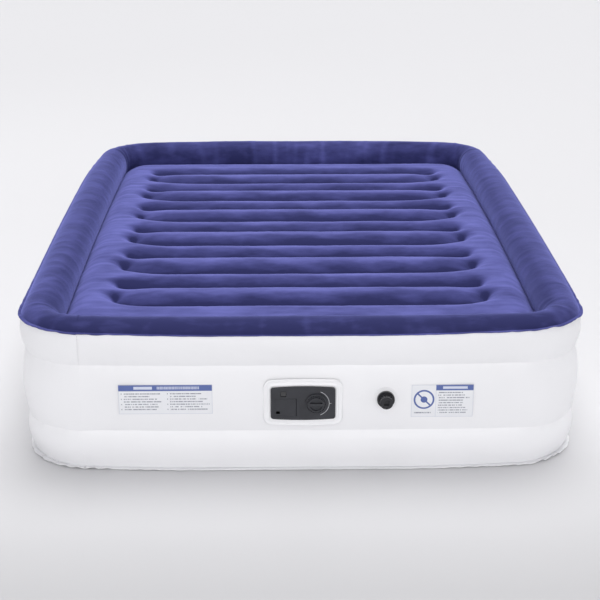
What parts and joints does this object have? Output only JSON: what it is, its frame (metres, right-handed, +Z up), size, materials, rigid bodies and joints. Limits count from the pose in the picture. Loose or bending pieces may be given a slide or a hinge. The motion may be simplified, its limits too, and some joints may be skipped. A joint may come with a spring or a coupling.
{
  "type": "air mattress",
  "caption": "Raised double-height air mattress with a flocked quilted top, white side bands, built-in pump with dial and cord compartment, and a capped manual valve.",
  "frame": {"origin": "centre of the footprint, on the underside of the bottom sheet where the bed rests", "axes": "X across the bed, Y along the bed with the pump on the -Y foot side, Z up"},
  "size_m": [1.53, 2.065, 0.42],
  "materials": {
    "flock": "short navy flock on film",
    "white_film": "soft satin vinyl film",
    "inner_film": "plain inner film",
    "charcoal_moulding": "fine textured moulding",
    "black_moulding": "plain moulding",
    "black_gloss": "polished moulding",
    "soft_rubber": "soft elastomer",
    "steel": "drawn wire and sheet",
    "label_print": "printed film label"
  },
  "bodies": {
    "bed": {"border_beam": "inner_film", "bottom_sheet": "white_film", "cord_gland": "soft_rubber", "cord_tray": "black_moulding", "flap_pin": "steel", "floor_web_1": "inner_film", "floor_web_2": "inner_film", "floor_web_3": "inner_film", "floor_web_4": "inner_film", "foot_wall": "white_film", "head_wall": "white_film", "housing_screws": "steel", "left_wall": "white_film", "lid_hinge_pin": "steel", "lower_membrane": "inner_film", "middle_web_1": "inner_film", "middle_web_2": "inner_film", "middle_web_3": "inner_film", "middle_web_4": "inner_film", "motor_can": "steel", "pump_collar": "white_film", "pump_faceplate": "charcoal_moulding", "pump_gasket": "soft_rubber", "pump_housing": "black_moulding", "quilt_panel": "flock", "rib_beam_1": "inner_film", "rib_beam_2": "inner_film", "rib_beam_3": "inner_film", "rib_beam_4": "inner_film", "rib_beam_5": "inner_film", "rib_beam_6": "inner_film", "right_wall": "white_film", "roll_foot": "flock", "roll_head": "flock", "roll_left": "flock", "roll_right": "flock", "small_label": "label_print", "switch_body": "black_moulding", "top_seam": "white_film", "upper_membrane": "inner_film", "valve_base": "black_gloss", "valve_flange": "white_film", "volute": "black_moulding", "wide_label": "label_print"},
    "dial": {"dial_knob": "charcoal_moulding", "diverter_shaft": "black_moulding", "diverter_drum": "black_moulding"},
    "lid": {"cord_lid": "charcoal_moulding"},
    "rocker": {"switch_rocker": "black_gloss"},
    "rotor": {"impeller": "black_moulding", "motor_shaft": "steel", "motor_armature": "steel"},
    "pump_flap": {"outlet_flap": "soft_rubber"},
    "valve_core": {"valve_insert": "black_gloss"},
    "valve_check": {"valve_flap": "soft_rubber"},
    "valve_stopper": {"valve_cap": "black_gloss", "cap_o_ring": "soft_rubber"}
  },
  "joints": [
    {"name": "dial_turn", "type": "hinge", "parent": "bed", "child": "dial", "pos_m": [0.034, -1.015, 0.196], "axis": [0, -1, 0], "range_deg": [-70, 70]},
    {"name": "lid_swing", "type": "hinge", "parent": "bed", "child": "lid", "pos_m": [-0.02, -1.0199, 0.196], "axis": [0, 0, 1], "range_deg": [0, 90]},
    {"name": "rocker_tilt", "type": "hinge", "parent": "bed", "child": "rocker", "pos_m": [-0.051, -1.0135, 0.2225], "axis": [1, 0, 0], "range_deg": [0, 16]},
    {"name": "impeller_spin", "type": "hinge", "parent": "bed", "child": "rotor", "pos_m": [0.034, -0.97, 0.196], "axis": [0, -1, 0], "continuous": true},
    {"name": "pump_flap_swing", "type": "hinge", "parent": "bed", "child": "pump_flap", "pos_m": [-0.05, -0.8973, 0.2165], "axis": [1, 0, 0], "range_deg": [0, 60], "stiffness_Nm_per_rad": 0.001},
    {"name": "valve_insert_turn", "type": "hinge", "parent": "bed", "child": "valve_core", "pos_m": [0.216, -1.015, 0.205], "axis": [0, -1, 0], "range_deg": [0, 90]},
    {"name": "valve_cap_pull", "type": "slide", "parent": "valve_core", "child": "valve_stopper", "axis": [0, -1, 0], "range_m": [0, 0.06]},
    {"name": "valve_flap_swing", "type": "hinge", "parent": "valve_core", "child": "valve_check", "pos_m": [0.216, -0.9895, 0.2155], "axis": [1, 0, 0], "range_deg": [0, 50], "stiffness_Nm_per_rad": 0.0002}
  ]
}
